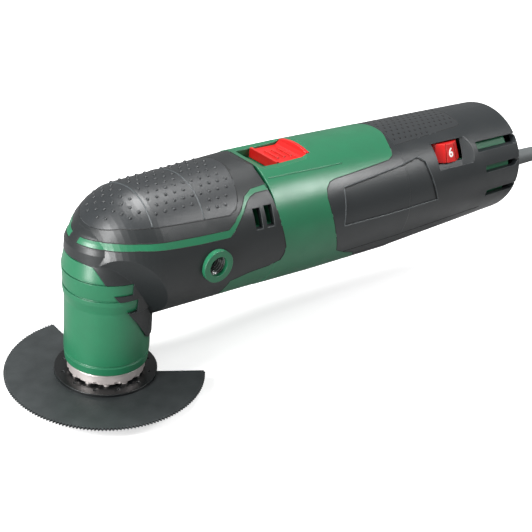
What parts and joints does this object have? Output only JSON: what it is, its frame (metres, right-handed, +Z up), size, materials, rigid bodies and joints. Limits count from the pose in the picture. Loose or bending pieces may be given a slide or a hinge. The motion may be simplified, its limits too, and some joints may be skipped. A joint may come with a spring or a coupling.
{
  "type": "oscillating multi tool",
  "caption": "Slim round corded oscillating multi tool with an angled gear head, slide switch, speed dial and a segment saw blade.",
  "frame": {"origin": "on the spindle's axis, in the tool holder's lower face that the accessory seats against", "axes": "+Z up along the spindle, +X towards the rear end and the cord, -Y the left side, which the picture shows"},
  "size_m": [0.4805, 0.1129, 0.0943],
  "materials": {
    "green_plastic": "satin",
    "black_plastic": "satin",
    "soft_black": "matt, with raised dots",
    "label_black": "matt",
    "red_plastic": "satin",
    "grey_rubber": "matt",
    "cord_rubber": "matt",
    "plug_plastic": "satin",
    "zinc_steel": "satin",
    "bright_steel": "satin, nickelled",
    "dark_steel": "dark, satin",
    "black_steel": "black, satin",
    "hardened_steel": "ground",
    "cast_aluminium": "as cast",
    "lamination_steel": "stacked sheets",
    "copper": "enamelled copper",
    "brass": "drawn",
    "grey_plastic": "matt",
    "carbon": "matt",
    "board_green": "lacquered",
    "blue_plastic": "satin",
    "yellow_plastic": "satin"
  },
  "bodies": {
    "housing": {"gear_housing": "green_plastic", "front_grip": "black_plastic", "front_pad": "soft_black", "left_stripe": "green_plastic", "right_stripe": "green_plastic", "left_handle_ring": "green_plastic", "right_handle_ring": "green_plastic", "left_thread_insert": "zinc_steel", "right_thread_insert": "zinc_steel", "motor_housing": "green_plastic", "left_rear_cover": "black_plastic", "right_rear_cover": "black_plastic", "rear_pad": "soft_black", "left_label_plate": "label_black", "right_label_plate": "label_black", "housing_screws": "zinc_steel", "cover_screws": "zinc_steel", "bearing_bracket": "cast_aluminium", "lower_bearing": "hardened_steel", "upper_bearing": "hardened_steel", "stator_core": "lamination_steel", "field_coils": "copper", "front_motor_bearing": "hardened_steel", "rear_motor_bearing": "hardened_steel", "brush_bracket": "grey_plastic", "brush_holders": "brass", "carbon_brushes": "carbon", "brush_springs": "zinc_steel", "switch_unit": "grey_plastic", "circuit_board": "board_green", "potentiometer": "blue_plastic", "capacitor": "yellow_plastic", "cord_clamp": "grey_plastic", "cord_sleeve": "grey_rubber", "cord_inlet": "cord_rubber", "cord_tube": "cord_rubber", "cord_coil": "cord_rubber", "cord_tail": "cord_rubber", "plug_body": "plug_plastic", "plug_pins": "zinc_steel"},
    "spindle_body": {"spindle": "hardened_steel", "fork_lever": "hardened_steel", "tool_holder": "bright_steel", "saw_blade": "dark_steel", "blade_hub": "black_steel"},
    "washer_body": {"clamp_washer": "zinc_steel"},
    "screw_body": {"clamp_screw": "zinc_steel"},
    "rotor": {"motor_shaft": "hardened_steel", "armature_core": "lamination_steel", "armature_winding": "copper", "commutator": "copper", "fan": "grey_plastic", "eccentric": "hardened_steel", "eccentric_bearing": "hardened_steel"},
    "slide_switch": {"slide_button": "red_plastic", "slide_rod": "grey_plastic"},
    "dial_body": {"speed_dial": "red_plastic"}
  },
  "joints": [
    {"name": "spindle_swing", "type": "hinge", "parent": "housing", "child": "spindle_body", "pos_m": [0, 0, 0], "axis": [0, 0, 1], "range_deg": [-1.4, 1.4]},
    {"name": "clamp_withdraw", "type": "slide", "parent": "spindle_body", "child": "washer_body", "axis": [0, 0, -1], "range_m": [0, 0.01]},
    {"name": "clamp_screw_turn", "type": "hinge", "parent": "washer_body", "child": "screw_body", "pos_m": [0, 0, 0], "axis": [0, 0, -1], "range_deg": [0, 2880]},
    {"name": "rotor_spin", "type": "hinge", "parent": "housing", "child": "rotor", "pos_m": [0.09, 0, 0.0556], "axis": [1, 0, 0], "continuous": true},
    {"name": "switch_slide", "type": "slide", "parent": "housing", "child": "slide_switch", "axis": [-1, 0, 0], "range_m": [0, 0.0075]},
    {"name": "dial_turn", "type": "hinge", "parent": "housing", "child": "dial_body", "pos_m": [0.1768, -0.01044, 0.07484], "axis": [0, 0.0698, 0.9976], "range_deg": [0, 300]}
  ],
  "couplings": [
    {"joint": "clamp_screw_turn", "follows": "clamp_withdraw", "rad_per_m": 5026.5}
  ]
}
